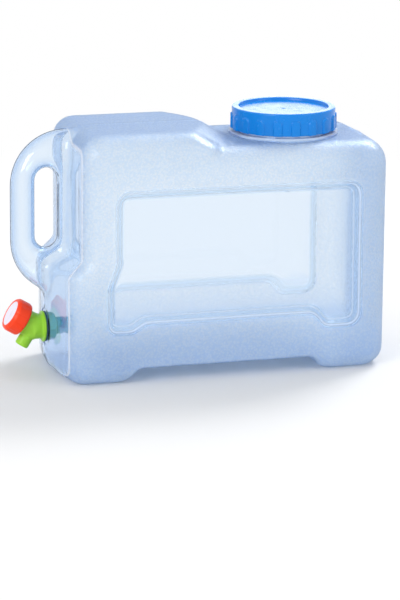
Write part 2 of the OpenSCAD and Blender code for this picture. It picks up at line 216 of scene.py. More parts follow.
def soften(values, rounds):
    for _ in range(rounds):
        for axis in range(3):
            ends = [(1, 1) if i == axis else (0, 0) for i in range(3)]
            wide = np.pad(values, ends, mode="edge")
            lo, hi = [slice(None)] * 3, [slice(None)] * 3
            lo[axis], hi[axis] = slice(0, -2), slice(2, None)
            values = 0.5 * values + 0.25 * (wide[tuple(lo)] + wide[tuple(hi)])
    return values


# %% [markdown]
# ## Meshes
# A piece is made from points and faces. Turned pieces (cap, neck, pipe, knob) are a section swung
# round an axis, and because the section may change with the angle, the same helper makes screw
# threads, grip pads and grooves as real geometry.

# %% Mesh helpers
def make_mesh(name, points, faces):
    mesh = bpy.data.meshes.new(name)
    mesh.from_pydata((np.asarray(points) * MM).tolist(), [], [tuple(f) for f in faces])
    mesh.validate()
    piece = bpy.data.objects.new(name, mesh)
    bpy.context.scene.collection.objects.link(piece)
    return piece


def tidy(piece, sharp=40, weld=1e-7):
    bm = bmesh.new()
    bm.from_mesh(piece.data)
    bmesh.ops.remove_doubles(bm, verts=bm.verts, dist=weld)
    bmesh.ops.dissolve_degenerate(bm, edges=bm.edges, dist=weld)
    bmesh.ops.recalc_face_normals(bm, faces=bm.faces)
    bm.to_mesh(piece.data)
    bm.free()
    shade(piece, sharp)


def shade(piece, sharp=40):
    piece.data.polygons.foreach_set("use_smooth", np.ones(len(piece.data.polygons), bool))
    piece.data.set_sharp_from_angle(angle=math.radians(sharp))


def full_turn(sides):
    return np.linspace(0, 2 * math.pi, sides, endpoint=False)


def turned(columns, sides, closed=True):
    """Swing columns of (radius, height) round Z; either may be an array, one value a side."""
    a = full_turn(sides)
    r = np.stack([np.broadcast_to(c[0], sides) for c in columns], 1)
    z = np.stack([np.broadcast_to(c[1], sides) for c in columns], 1)
    points = np.stack([r * np.cos(a)[:, None], r * np.sin(a)[:, None], z], 2).reshape(-1, 3)
    n = len(columns)
    i, j = np.meshgrid(np.arange(sides), np.arange(n if closed else n - 1), indexing="ij")
    i, j = i.ravel(), j.ravel()
    i1, j1 = (i + 1) % sides, (j + 1) % n
    return points, np.column_stack([i * n + j, i1 * n + j, i1 * n + j1, i * n + j1])


def turned_piece(name, columns, sides, matrix, closed=True):
    points, faces = turned(columns, sides, closed)
    piece = make_mesh(name, place(points, matrix), faces)
    tidy(piece)
    return piece


def cylinder(radius, height, matrix, sides=180):
    columns = [(0, 0), (radius, 0), (radius, height), (0, height)]
    return turned_piece("tool", columns, sides, matrix, closed=False)


def place(points, matrix):
    return points @ np.array(matrix)[:3, :3].T + np.array(matrix)[:3, 3]


def upright(x, z=0.0):
    return Matrix.Translation((x + SHIFT, 0, z))


def along_x(x):
    return Matrix.Translation((x + SHIFT, 0, TAP_Z)) @ Matrix.Rotation(math.radians(90), 4, "Y")


def pointing(start, direction):
    """The place of a piece that stands on a point of the frame and points in a direction."""
    turn = Vector(direction).to_track_quat("Z", "Y").to_matrix().to_4x4()
    return Matrix.Translation(start) @ turn


def combine(piece, tool, how):
    step = piece.modifiers.new(how, "BOOLEAN")
    step.operation, step.solver, step.object = how, "MANIFOLD", tool
    bpy.context.view_layer.update()
    worked_out = piece.evaluated_get(bpy.context.evaluated_depsgraph_get())
    result = bpy.data.meshes.new_from_object(worked_out)
    piece.modifiers.clear()
    old, piece.data = piece.data, result
    bpy.data.meshes.remove(old)
    bpy.data.objects.remove(tool)


def close_slivers(piece, reach=5e-6):
    """Cuts leave slivers thinner than five micrometres; their short edges are closed up."""
    bm = bmesh.new()
    bm.from_mesh(piece.data)
    bmesh.ops.dissolve_degenerate(bm, edges=bm.edges, dist=reach)
    bm.to_mesh(piece.data)
    bm.free()


def taken_apart(bm):
    points = np.array([v.co[:] for v in bm.verts]) / MM
    faces = np.array([[v.index for v in f.verts] for f in bm.faces])
    bm.free()
    return points, faces


def numbers(data, name, width=1, kind=float):
    values = np.empty(len(data) * width, kind)
    data.foreach_get(name, values)
    return values.reshape(-1, width) if width > 1 else values


def drawing_points(mesh):
    return numbers(mesh.vertices, "co", 3) / MM - np.array([SHIFT, 0, 0])


def report(piece):
    size = [round(v / MM, 1) for v in piece.dimensions]
    print(f"{piece.name}: {len(piece.data.polygons)} faces, {size} mm")


# %% [markdown]
# ## The blown shell
# The bottle is one moulding: a long lower block with two feet, a raised block beside the hollow
# handle, a recess panel on the front and on the back, and an arch between the feet. The tap end
# bulges a little and steps in above the spigot. Each form is a loft, and the fields of the lofts
# are joined. The joint between shoulder and raised block gets a fillet only near the top, because
# the two share their front and back planes below that.

# %% Lower block and raised block
def plan_ring(z, near, near_r, near_bow, far, far_r, far_bow, inwards):
    """The bottle's outline at one height: two flat sides, rounded corners and bowed ends."""
    side_n, side_f = HALF_W - near_r, HALF_W - far_r
    k = np.linspace(-1, 1, 15)[1:-1]
    far_wall = np.column_stack([far - inwards + far_bow * (1 - k**2), side_f * k])
    near_wall = np.column_stack([near + inwards - near_bow * (1 - k**2), -side_n * k])
    flat = np.vstack([
        arc(far - far_r, -side_f, far_r - inwards, -90, 0, 12), far_wall,
        arc(far - far_r, side_f, far_r - inwards, 0, 90, 12),
        arc(near + near_r, side_n, near_r - inwards, 90, 180, 12), near_wall,
        arc(near + near_r, -side_n, near_r - inwards, 180, 270, 12)])
    return np.column_stack([flat, np.full(len(flat), z)])


def lower_block():
    corner = X_FAR - 2.0
    turn = np.radians(np.linspace(0, 90, 13))
    rings = [plan_ring(BASE_R - BASE_R * math.sin(a), X_NEAR, NEAR_R, NEAR_BOW, corner, FAR_R,
                       FAR_BOW, BASE_R - BASE_R * math.cos(a)) for a in turn[::-1]]
    for s in np.linspace(0, 1, 17):
        w = (1 - math.cos(math.pi * s)) / 2
        rings.append(plan_ring(STEP_Z + STEP_H * s, X_NEAR + (X_RAISED - X_NEAR) * w, NEAR_R,
                               NEAR_BOW * (1 - w), corner, FAR_R, FAR_BOW, 0))
    hidden = X_RAISED + 20
    rings.append(plan_ring(STEP_Z + STEP_H + 20, hidden, FAR_R, 0, corner, FAR_R, FAR_BOW, 0))
    rings += [plan_ring(SHOULDER_H - SHOULDER_R + SHOULDER_R * math.sin(a), hidden, FAR_R, 0,
                        corner, FAR_R, FAR_BOW, SHOULDER_R - SHOULDER_R * math.cos(a)) for a in turn]
    return loft(rings)


def raised_block():
    fall = SLOPE_L / (RAISED_H - SHOULDER_H)
    corner, far_r = SLOPE_X1 - SLOPE_BOW, TOP_R + 1
    rings = [plan_ring(z, X_RAISED, NEAR_R, 0, corner, far_r, SLOPE_BOW, 0)
             for z in (STEP_Z + STEP_H - 12, RAISED_H - TOP_R - 1)]
    for a in np.radians(np.linspace(0, 90, 13)):
        e, z = TOP_R - TOP_R * math.cos(a), RAISED_H - TOP_R + TOP_R * math.sin(a)
        wall = corner - max(0, z - SHOULDER_H) * fall
        rings.append(plan_ring(z, X_RAISED, max(NEAR_R, e + 1), 0, wall + e, max(far_r, e + 1),
                               SLOPE_BOW, e))
    return loft(rings)


# %% [markdown]
# ## Handle and finger slot
# The handle is a hollow tube that leaves the top, bends down past the end wall and comes back in
# above the spigot. Its section is an ellipse between an outer outline and the edge of the finger
# slot. A web closes the gap between the slot and the end wall.

# %% Handle and web
GRIP_X = X_APEX - 34.0
GRIP_W, GRIP_T, SLOT_W = 24.0, 28.0, 23.4
SLOT_Z0, SLOT_Z1 = 127.0, 208.0
SLOT_X = GRIP_X + GRIP_W + SLOT_W / 2


def handle():
    bend, r = 55.0, SLOT_W / 2
    cx, top, low = GRIP_X + bend, RAISED_H - 2.5 - bend, SLOT_Z0 + 8
    outer = np.vstack([[[X_RAISED + 14, RAISED_H - 12]], arc(cx, top, bend, 84, 180, 14),
                       arc(cx, low, bend, 180, 276, 14), [[X_RAISED + 14, low - bend + 12]]])
    inner = np.vstack([[[X_RAISED + 14, SLOT_Z1 - 6]], arc(SLOT_X, SLOT_Z1 - r, r, 48, 180, 14),
                       arc(SLOT_X, SLOT_Z0 + r, r, 180, 312, 14), [[X_RAISED + 14, SLOT_Z0 + 4]]])
    f = full_turn(40)
    rings = []
    for p, q in zip(outer, inner):
        c, half = (p + q) / 2, np.linalg.norm(p - q) / 2
        u = (p - q) / (2 * half)
        y = GRIP_T / 2 * np.sign(np.sin(f)) * np.abs(np.sin(f)) ** 0.85
        reach = half * np.cos(f)
        rings.append(np.column_stack([c[0] + reach * u[0], y, c[1] + reach * u[1]]))
    return loft(rings)


def slot_web():
    x0, x1 = SLOT_X + SLOT_W / 2, X_RAISED + 3
    return loft([np.array([[x0, -e, z], [x1, -w, z], [x1, w, z], [x0, e, z]])
                 for z, w, e in ((STEP_Z + 8, 22, 9), (SLOT_Z1 + 16, 12, 7))])


# %% [markdown]
# ## Recess panels and arch
# The recess panels stiffen the flat sides. Their outline follows the feet: it dips down beside the
# arch and widens at the tap end. The cutter is a loft between the panel's floor and its rim, run on
# past the wall so that the soft cut sees only the sloping border.

# %% Panels and arch
RECESS_D, RECESS_SLOPE = 10.0, 7.5
RECESS_TOP, RECESS_BOTTOM = 193.0, 61.5
ARCH_H = 15.0


def standing(outline, y):
    return np.column_stack([outline[:, 0], np.full(len(outline), y), outline[:, 1]])


def recess(side):
    left, right = X_RAISED + 33.5, X_FAR - 35
    outline = [[left - 8.5, RECESS_BOTTOM - 8.5], [left + 16, RECESS_BOTTOM - 8.5],
               [left + 29, RECESS_BOTTOM], [right - 47, RECESS_BOTTOM],
               [right - 36, RECESS_BOTTOM - 15], [right + 1, RECESS_BOTTOM - 15],
               [right, RECESS_TOP], [left, RECESS_TOP], [left, STEP_Z + 15], [left - 9, STEP_Z - 9]]
    radii = [9, 10, 14, 14, 12, 13, 13, 13, 22, 22]
    run_on = 8.0
    rings, middles = [], []
    for depth in (RECESS_D, -run_on):
        ring = rounded(outline, radii, RECESS_SLOPE * depth / RECESS_D)
        y = side * (HALF_W - depth)
        rings.append(standing(ring, y))
        middles.append(np.array([(left + right) / 2 + 8, y, RECESS_TOP - 14]))
    return loft(rings, middles)


def arch_space():
    a, b = X_APEX + 64 + 14, X_FAR - 66 - 14
    outline = rounded([[a - 14, -ARCH_H / 4], [b + 14, -ARCH_H / 4], [b + 4, ARCH_H / 2],
                       [b, ARCH_H], [a, ARCH_H], [a - 4, ARCH_H / 2]], [1, 1, 20, 8, 8, 20])
    ends = (-HALF_W - 8, HALF_W + 8)
    return loft([standing(outline, y) for y in ends],
                [np.array([(a + b) / 2, y, ARCH_H / 4]) for y in ends])


# %% The shell's field
GRID_STEP, BAND = 1.5, 15
TOP_FILLET, WEB_FILLET, GRIP_FILLET, PANEL_EDGE, ARCH_EDGE = 6.0, 8.0, 9.0, 4.0, 6.0
FILLET_Z0, FILLET_RISE = 212, 18

block = Block((-210, -80, -6), (178, 80, 254), GRID_STEP)
grid_z = block.axes()[2]
top_fillet = np.clip((grid_z - FILLET_Z0) / FILLET_RISE, 0, 1) * TOP_FILLET

shell = join(block.field(lower_block(), BAND), block.field(raised_block(), BAND), top_fillet)
shell = join(shell, block.field(slot_web(), BAND), WEB_FILLET)
shell = join(shell, block.field(handle(), BAND), GRIP_FILLET)
panels = np.minimum(block.field(recess(-1), BAND), block.field(recess(1), BAND))
shell = cut(shell, panels, PANEL_EDGE)
shell = cut(shell, block.field(arch_space(), BAND), ARCH_EDGE)
shell = soften(shell, 4)
skin_points, skin_tris, skin_quads = block.skin(shell, 0.01)
print("skin:", len(skin_points), "points", len(skin_tris), "triangles", len(skin_quads), "quads")

# %% [markdown]
# ## From field to thin wall
# The skin's net is fine where the form bends and wide on the flats, and its points slide onto the
# field. The mould's parting line runs round the bottle's middle plane, so the net is cut there and
# the cut edge lifted a little. The inner wall is the same net moved two millimetres inwards, which
# is what an even wall is.

# %% Outer and inner wall
def bisect(bm, y):
    bmesh.ops.bisect_plane(bm, geom=[*bm.verts, *bm.edges, *bm.faces], dist=1e-6,
                           plane_co=(0, y, 0), plane_no=(0, 1, 0))


def shell_mesh(seam_w=0.8, seam_h=0.35):
    raw = make_mesh("skin_raw", block.settle(shell, skin_points), [*skin_tris, *skin_quads])
    bm = bmesh.new()
    bm.from_mesh(raw.data)
    bpy.data.objects.remove(raw)
    for y in (-seam_w, 0, seam_w):
        bisect(bm, y * MM)
    bmesh.ops.triangulate(bm, faces=bm.faces)
    bmesh.ops.recalc_face_normals(bm, faces=bm.faces)
    points, faces = taken_apart(bm)
    on_seam = np.abs(points[:, 1]) < 0.01
    points = block.settle(shell, points)
    points[on_seam, 1] = 0
    normals = block.slope(shell, points, 1.2)
    normals /= np.linalg.norm(normals, axis=1)[:, None]
    inner = points - WALL * normals
    lift = np.where(on_seam, seam_h, 0) * np.clip((points[:, 2] - 1) / 6, 0, 1)
    outer = points + normals * lift[:, None]
    both = np.vstack([outer, inner])
    both[:, 0] += SHIFT
    return make_mesh("carboy_shell", both, [*faces, *(faces[:, ::-1] + len(outer))])


body = shell_mesh()
report(body)

# %% [markdown]
# ## Neck and mouth
# The wide neck is turned: a ring at its foot, a wall with an outside thread, and a rounded lip. The
# thread's ridge follows a helix of the same lead that the CAD model's joint uses, so the cap's own
# ridge stays between the turns as it unscrews. The neck is united with the shell, and then the mouth
# and the hole for the spigot's pipe are bored.

# %% Screw thread
def helix_ridge(angles, z, start_z, lead, first, last, height, width):
    """Height of a ridge that climbs one lead a turn, from turn number first to last."""
    fade_turns, flank = 0.07, 0.45
    turns = angles / (2 * math.pi)
    ridge = np.zeros_like(turns)
    for k in range(int(math.floor(first)) - 1, int(math.ceil(last)) + 1):
        s = turns + k
        fade = np.clip((s - first) / fade_turns, 0, 1) * np.clip((last - s) / fade_turns, 0, 1)
        off = np.abs(z - (start_z + lead * s)) / (width / 2)
        ridge = np.maximum(ridge, height * fade * np.clip((1 - off) / flank, 0, 1))
    return ridge


# %% Neck
NECK_SIDES = 360
neck_angles, foot = full_turn(NECK_SIDES), SHOULDER_H - WALL
columns = [(MOUTH_R - 0.01, foot), (NECK_RING_R, foot),
           *arc(NECK_RING_R - 1.0, NECK_RING_TOP - 1.0, 1.0, 0, 90, 4),
           *arc(NECK_R + 0.8, NECK_RING_TOP + 0.8, 0.8, 270, 180, 3)]
for z in np.arange(NECK_RING_TOP + 1.2, NECK_TOP - 1.2, 0.45):
    columns.append((NECK_R + helix_ridge(neck_angles, z, NECK_RING_TOP + 4.5, THREAD_LEAD, 0, 1.6,
                                         THREAD_H, THREAD_W), z))
columns += [*arc(NECK_R - 1.0, NECK_TOP - 1.0, 1.0, 0, 90, 4),
            *arc(MOUTH_R + 0.8, NECK_TOP - 0.8, 0.8, 90, 180, 3)]
neck = turned_piece("neck", columns, NECK_SIDES, upright(NECK_X))
report(neck)

combine(body, neck, "UNION")
for radius, height, matrix, how in (
        (MOUTH_R, 40, upright(NECK_X, SHOULDER_H - 10), "DIFFERENCE"),
        (SEAT_R - 1, 3.0, along_x(SEAT_X - 0.6), "UNION"),
        (SEAT_R, 3.8, along_x(X_APEX - 3), "DIFFERENCE"),
        (PIPE_HOLE_R, 20, along_x(X_APEX - 6), "DIFFERENCE")):
    combine(body, cylinder(radius, height, matrix), how)
close_slivers(body)
body.name = "carboy_shell"
shade(body, 50)
report(body)

# %% [markdown]
# The net's triangles are uneven, and smooth shading over them would show as dents in the clear wall.
# Where a face lies along the field, its corners take their normals from the field instead. The
# cut edges, the neck and the parting line keep the normals of their own faces.

# %% Normals from the field
def field_normals(piece, values, grid, least=0.75):
    skin_gap, seam_w = 0.3, 1.5
    mesh = piece.data
    normals = numbers(mesh.corner_normals, "vector", 3)
    corners_of = numbers(mesh.polygons, "loop_total", kind=int)
    faces = np.repeat(numbers(mesh.polygons, "normal", 3), corners_of, axis=0)
    corner = numbers(mesh.loops, "vertex_index", kind=int)
    points = drawing_points(mesh)
    depth = grid.sample(values, points)
    slope = grid.slope(values, points, 1.2)
    slope /= np.maximum(np.linalg.norm(slope, axis=1), 1e-6)[:, None]
    near = np.minimum(np.abs(depth), np.abs(depth + WALL)) < skin_gap
    slope, near = slope[corner], near[corner]
    along = (slope * faces).sum(1)
    use = near & (np.abs(along) > least) & (np.abs(points[corner, 1]) > seam_w)
    normals[use] = slope[use] * np.sign(along[use])[:, None]
    mesh.normals_split_custom_set(normals.tolist())
    print(piece.name, "corners with field normals:", round(float(use.mean()), 3))


field_normals(body, shell, block)

# %% [markdown]
# ## Where the plastic is clear
# The mould was blasted on its flat sides, which leaves a fine grain there, and left bright in the
# panels, round the tap end, on the handle and on the neck. Each point of the mesh carries a number
# that is 1 at the panels and falls to 0 a little beyond their borders. The plastic's material then
# sets a panel's sharp edge by how deep a point lies below the flat side, because a line drawn by
# numbers on the points would be ragged. It works out the neck and the tap end by itself too.

# %% Clear zones
def step(v, low, high):
    t = np.clip((v - low) / (high - low), 0, 1)
    return t * t * (3 - 2 * t)


co = drawing_points(body.data)
from_skin, from_panel = block.sample(shell, co), block.sample(panels, co)


def mark(name, values):
    body.data.attributes.new(name, "FLOAT", "POINT").data.foreach_set("value", values)


by_panel = 1 - step(from_panel + from_skin, 2.5, 4.0)
mark("by_panel", by_panel)
print("share of points at the panels:", round(float(by_panel.mean()), 3))

# %% [markdown]
# A blown wall isn't equally deep in colour everywhere. A second number makes the blue deeper in
# places, so the wall itself can stay one even offset. Towards the base it is partly more plastic,
# because the tube sags, and partly painted shade of the floor's shadow. Walls that turn away from
# the flat sides, such as tops, ends and the handle's edges, are looked at along the plastic; the
# deeper blue on them is painted shade. A painted dark band also lies just under the panels' lower
# border. A third one marks the sloping borders of the panels, and a fourth tells the outer face from
# the inner, because only the outer face was blasted.

# %% Depth of colour and painted shade
out_of_skin = block.slope(shell, co)
turned_away = 1 - np.abs(out_of_skin[:, 1]) / np.maximum(np.linalg.norm(out_of_skin, axis=1), 1e-6)
# Deeper blue at the base: partly more plastic, partly painted shade of the floor's shadow
base_depth_and_shade = 0.62 * (1 - step(co[:, 2], 15, 66))
# Painted shade: deeper blue on tops, ends and edges that turn away from the flat sides
side_shade = np.where(co[:, 0] < X_RAISED, turned_away ** 1.1, 0.8 * turned_away ** 1.4)
# Painted shade: a darker blue band just under the panels' lower border
below = 1 - step(co[:, 2], RECESS_BOTTOM, RECESS_BOTTOM + 6)
under_rim_shade = 0.9 * np.exp(-((from_panel - 1.6) / 1.1) ** 2) * below
depth_and_shade = np.clip(np.maximum.reduce([base_depth_and_shade, side_shade, under_rim_shade]), 0, 1)
mark("sloping", by_panel * step(turned_away, 0.01, 0.12))
# The depth attribute carries the deeper blue together with the painted shade
mark("depth", depth_and_shade)
mark("outer", step(from_skin, -1.3, -0.7))
print("mean depth of colour:", round(float(depth_and_shade.mean()), 3))

# %% [markdown]
# ## The cap
# The cap is one turned moulding: a sunken disc, a rounded rim, a skirt with eighteen arched grip
# pads, and an inside thread. The pads are part of the outline: the radius grows by the pad's
# thickness where the angle and the height fall inside the arch, with a narrow slope at its edge.

# %% Cap
CAP_IN_R = NECK_R + 2.6
CAP_R = CAP_IN_R + 2.4
RIM_IN_R = CAP_R - 7.4
GASKET_T, TOUCH = 1.4, 0.05
DISC_Z0 = NECK_TOP + TOUCH + GASKET_T + TOUCH
DISC_Z1 = DISC_Z0 + 2.2
CAP_TOP = DISC_Z1 + 3.0
SKIRT_Z = NECK_RING_TOP + 1.8
PAD_N, PAD_W, PAD_T = 18, 9.4, 1.4
CAP_SIDES = 504


def grip_pads(angles, z):
    pitch = 2 * math.pi / PAD_N
    off = (angles - 0.3 * pitch + pitch / 2) % pitch - pitch / 2
    x, half = off * CAP_R, PAD_W / 2 - 0.35
    top = CAP_TOP - 6.6 - PAD_W / 2
    inside = half - np.where(z > top, np.hypot(x, z - top), np.abs(x))
    return PAD_T * step(inside, -0.45, 0.45)


cap_angles = full_turn(CAP_SIDES)
thread_z = SHOULDER_H + 7.5 - THREAD_LEAD / 2
columns = [(0.0, DISC_Z0), (CAP_IN_R - 1.2, DISC_Z0), (CAP_IN_R - 0.35, DISC_Z0 - 0.25),
           (CAP_IN_R, DISC_Z0 - 1.2)]
for z in np.arange(DISC_Z0 - 1.8, SKIRT_Z + 0.8, -0.6):
    ridge = helix_ridge(cap_angles, z, thread_z, THREAD_LEAD, 0.45, 2.2, THREAD_H, THREAD_W)
    columns.append((CAP_IN_R - ridge, z))
columns += [(CAP_IN_R, SKIRT_Z + 0.7), (CAP_IN_R + 0.5, SKIRT_Z)]
columns.append((CAP_R - 0.5 + grip_pads(cap_angles, SKIRT_Z), SKIRT_Z))
for z in np.concatenate([[SKIRT_Z + 0.5], np.arange(SKIRT_Z + 1.2, CAP_TOP - 1.7, 0.55)]):
    columns.append((CAP_R + grip_pads(cap_angles, z), z))
columns += [*arc(CAP_R - 1.4, CAP_TOP - 1.4, 1.4, 0, 90, 6),
            *arc(RIM_IN_R + 0.6 + 0.8, CAP_TOP - 0.8, 0.8, 90, 170, 4),
            *arc(RIM_IN_R - 0.6, DISC_Z1 + 0.6, 0.6, 0, -90, 4),
            (RIM_IN_R - 1.6, DISC_Z1), (3.2, DISC_Z1), (2.3, DISC_Z1), (2.0, DISC_Z1 - 0.25),
            (1.1, DISC_Z1 - 0.25), (0.9, DISC_Z1 + 0.2), (0.0, DISC_Z1 + 0.25)]
cap = turned_piece("cap", columns, CAP_SIDES, upright(NECK_X), closed=False)
report(cap)

# %% [markdown]
# ## The spigot's body
# The green body is one moulding: a round flange, a short neck, a barrel that leans back, and a spout
# that points down and out. It gets soft joints from fields like the bottle's, on a finer grid. The
# pipe with its outside thread is turned and joined to it, and the bores are cut last.

# %% Spigot body
def bar(start, end, r0, r1, edge=0.8):
    """A round bar or cone with rounded edges, as the plain triangles a field is made from."""
    start, end = np.array(start, float), np.array(end, float)
    length = np.linalg.norm(end - start)
    profile = [(0, 0), *arc(r0 - edge, edge, edge, 270, 360, 4),
               *arc(r1 - edge, length - edge, edge, 0, 90, 4), (0, length)]
    piece = turned_piece("form", profile, 72, pointing(start, end - start), closed=False)
    bm = bmesh.new()
    bm.from_mesh(piece.data)
    bmesh.ops.triangulate(bm, faces=bm.faces)
    bpy.data.objects.remove(piece)
    points, triangles = taken_apart(bm)
    return points, np.empty((0, 4), int), triangles


tilt = math.radians(TILT)
BARREL = np.array([-math.cos(tilt), 0, math.sin(tilt)])
SPOUT = np.array([-math.sin(tilt), 0, -math.cos(tilt)])
valve = np.array([VALVE_X, 0, VALVE_Z])
flange_x = SEAT_X - SEAT_RING_T - FLANGE_T
FINE_STEP, FINE_BAND = 0.6, 6
KNOB_S, KNOB_L = 10.9, 15.6
BARREL_END = KNOB_S + 9.8

small = Block((-215, -20, 18), (-160, 20, 74), FINE_STEP)
forms = [
    (bar([flange_x, 0, TAP_Z], [flange_x + FLANGE_T, 0, TAP_Z], 15.6, 15.6, 0.7), 0),
    (bar([VALVE_X - 0.7, 0, TAP_Z], [flange_x + 1.2, 0, TAP_Z], 12.3, 12.3), 1.6),
    (bar(valve - 4 * BARREL, valve + BARREL_END * BARREL, 12, 12), 2.4),
    (bar(valve, valve + 12.6 * SPOUT, 7.9, 7.9, 0.5), 2.0),
    (bar(valve, valve + 23.5 * SPOUT, 7.2, 6.9), 0.8),
]
tap = None
for solid, fillet in forms:
    values = small.field(solid, FINE_BAND)
    tap = values if tap is None else join(tap, values, fillet)
tap = soften(tap, 1)
points, tris, quads = small.skin(tap, 0.01)
points = small.settle(tap, points, 2)
spigot = make_mesh("spigot", points + np.array([SHIFT, 0, 0]), [*tris, *quads])
tidy(spigot)
report(spigot)

# %% The threaded pipe and the bores
PIPE_R, PIPE_END, PIPE_RIDGE, PIPE_LEAD = 8.6, 22.5, 0.75, 2.5
PIPE_SIDES = 120
pipe_angles = full_turn(PIPE_SIDES)
core_r = PIPE_R - PIPE_RIDGE
start = flange_x + 1.2
length = SEAT_X + PIPE_END - start
pipe_turns = (length - 8.5) / PIPE_LEAD
columns = [(0, 0), (core_r, 0), (core_r, 5.0)]
for z in np.arange(5.3, length - 1.0, 0.35):
    ridge = helix_ridge(pipe_angles, z, 6.0, PIPE_LEAD, 0, pipe_turns, PIPE_RIDGE, 1.9)
    columns.append((core_r + ridge, z))
columns += [(core_r, length - 0.6), (core_r - 0.6, length), (0, length)]
pipe = turned_piece("pipe", columns, PIPE_SIDES, along_x(start), closed=False)
combine(spigot, pipe, "UNION")

frame_valve = valve + np.array([SHIFT, 0, 0])
for radius, depth, bore_from, direction in (
        (5.0, length + 2, [start + SHIFT, 0, TAP_Z], [1, 0, 0]),
        (7.0, BARREL_END + 8, frame_valve - 6 * BARREL, BARREL),
        (3.5, 8, frame_valve - 13.5 * BARREL, BARREL),
        (4.2, 10, frame_valve, SPOUT),
        (4.8, 17, frame_valve + 8.5 * SPOUT, SPOUT)):
    bore = cylinder(radius, depth, pointing(bore_from, direction), 96)
    combine(spigot, bore, "DIFFERENCE")
close_slivers(spigot)
shade(spigot, 40)
report(spigot)

# %% [markdown]
# ## Knob, disc, nut and rings
# The knob is a cup with finger grooves round it and a white disc let into its face. The nut is a
# hexagon with a chamfer, which screws on the pipe inside the bottle. All are turned sections whose
# radius changes with the angle.

# %% Knob and disc
KNOB_R = 17.2
KNOB_END = KNOB_S + KNOB_L
DISC_R, DISC_T = 13.0, 1.4
DISC_S = KNOB_END - DISC_T - 0.2
KNOB_SIDES = 400
GROOVE_N, GROOVE_D, GROOVE_W = 10, 0.35, 1.3
knob_angles = full_turn(KNOB_SIDES)


def knob_radius(z):
    chamfer = np.interp(z, [KNOB_S, KNOB_S + 2.0, KNOB_END - 3.0, KNOB_END],
                        [KNOB_R - 0.9, KNOB_R, KNOB_R, KNOB_R - 2.0])
    pitch = 2 * math.pi / GROOVE_N
    off = (knob_angles % pitch - pitch / 2) * KNOB_R
    return chamfer - GROOVE_D * np.exp(-(off / GROOVE_W) ** 2)


lean = pointing(frame_valve, BARREL)
plate = BARREL_END + 0.5
columns = [(5.0, plate), (12.0, plate), (12.5, plate - 0.5), (12.5, KNOB_S + 0.5), (13.0, KNOB_S),
           (knob_radius(KNOB_S) - 0.5, KNOB_S)]
for z in np.linspace(KNOB_S + 0.4, KNOB_END - 0.5, 26):
    columns.append((knob_radius(z), z))
columns += [(knob_radius(KNOB_END) - 0.15, KNOB_END - 0.15), (knob_radius(KNOB_END) - 0.7, KNOB_END),
            (DISC_R + 0.3, KNOB_END), (DISC_R, KNOB_END - 0.3), (DISC_R, DISC_S), (5.0, DISC_S)]
knob = turned_piece("knob", columns, KNOB_SIDES, lean)
report(knob)

columns = [(0, DISC_S), (DISC_R - 0.05, DISC_S),
           *arc(DISC_R - 0.45, DISC_S + DISC_T - 0.4, 0.4, 0, 90, 4),
           (1.6, DISC_S + DISC_T), (1.3, DISC_S + DISC_T - 0.2), (0, DISC_S + DISC_T - 0.2)]
disc = turned_piece("knob_face", columns, 160, lean, closed=False)
report(disc)

# %% Nut and flat ring
NUT_R, NUT_T, NUT_SIDES = 12.5, 7.8, 180
nut_angles = full_turn(NUT_SIDES)
flat_off = (nut_angles + math.pi / 6) % (math.pi / 3) - math.pi / 6
hexagon = NUT_R / np.cos(flat_off)


def nut_radius(z):
    top = np.interp(z, [0, 0.6, NUT_T - 2.5, NUT_T], [13.6, 14.4, 14.4, 11.6])
    return np.minimum(hexagon, top)


hole = PIPE_R + TOUCH
columns = [(hole + 0.4, 0), (nut_radius(0) - 0.2, 0)]
columns += [(nut_radius(z), z) for z in np.linspace(0.3, NUT_T - 0.2, 20)]
columns += [(nut_radius(NUT_T) - 0.3, NUT_T), (hole + 0.4, NUT_T)]
for z in np.arange(7.4, 0.3, -0.35):
    ridge = helix_ridge(nut_angles, z, -1.1, PIPE_LEAD, -1, 6, 0.5, 1.3)
    columns.append((hole - ridge, z))
nut = turned_piece("nut", columns, NUT_SIDES, along_x(SEAT_X + 2.4))
report(nut)

ring_outline = [[hole, 0], [15.2, 0], [15.2, SEAT_RING_T], [hole, SEAT_RING_T]]
ring_section = rounded(ring_outline, [0.3, 0.6, 0.6, 0.3], steps=5)
seat_ring = turned_piece("seat_ring", ring_section, 160, along_x(SEAT_X - SEAT_RING_T))
report(seat_ring)

# %% [markdown]
# ## Plastics
# The shell is a clear, slightly blue plastic. Light passes both its faces, so it needs real
# transmission, and the blue is swallowed in the wall's thickness: that is a volume, so that a wall
# seen along its length looks deeper. The blasted outer face also scatters light, which a little
# milky white and blue mixed into it stands for, speckled like the grain. The grain itself is a fine
# bump that fades out where the mould was bright. There, long soft waves remain, as in any blown
# wall. The panels' sloping borders let most light pass straight on, because a bend of two
# millimetres would draw darker lines there than the real wall does, and get two pale lines instead:
# painted highlights. A painted white highlight line also runs where the clear tap end meets the
# grain, a painted white band lies on the neck above its ring, and the milk and the blue turn deeper
# where painted shade lies.

# %% Node helpers
def new_material(name):
    material = bpy.data.materials.new(name)
    material.use_nodes = True
    tree = material.node_tree
    return material, tree, tree.nodes["Principled BSDF"]


def node(tree, kind, links=None, **values):
    made = tree.nodes.new(kind)
    for key, value in values.items():
        setattr(made, key, value)
    for key, value in (links or {}).items():
        socket = made.inputs[key]
        if isinstance(value, bpy.types.NodeSocket):
            tree.links.new(value, socket)
        else:
            socket.default_value = value
    return made


def here(tree):
    return node(tree, "ShaderNodeTexCoord").outputs["Object"]


def noise(tree, scale, detail=2.0, rough=0.5):
    return node(tree, "ShaderNodeTexNoise", {"Vector": here(tree), "Scale": scale, "Detail": detail,
                                             "Roughness": rough}).outputs["Fac"]


def mixed(tree, factor, a, b):
    return node(tree, "ShaderNodeMix", {0: factor, 6: a, 7: b}, data_type="RGBA").outputs[2]


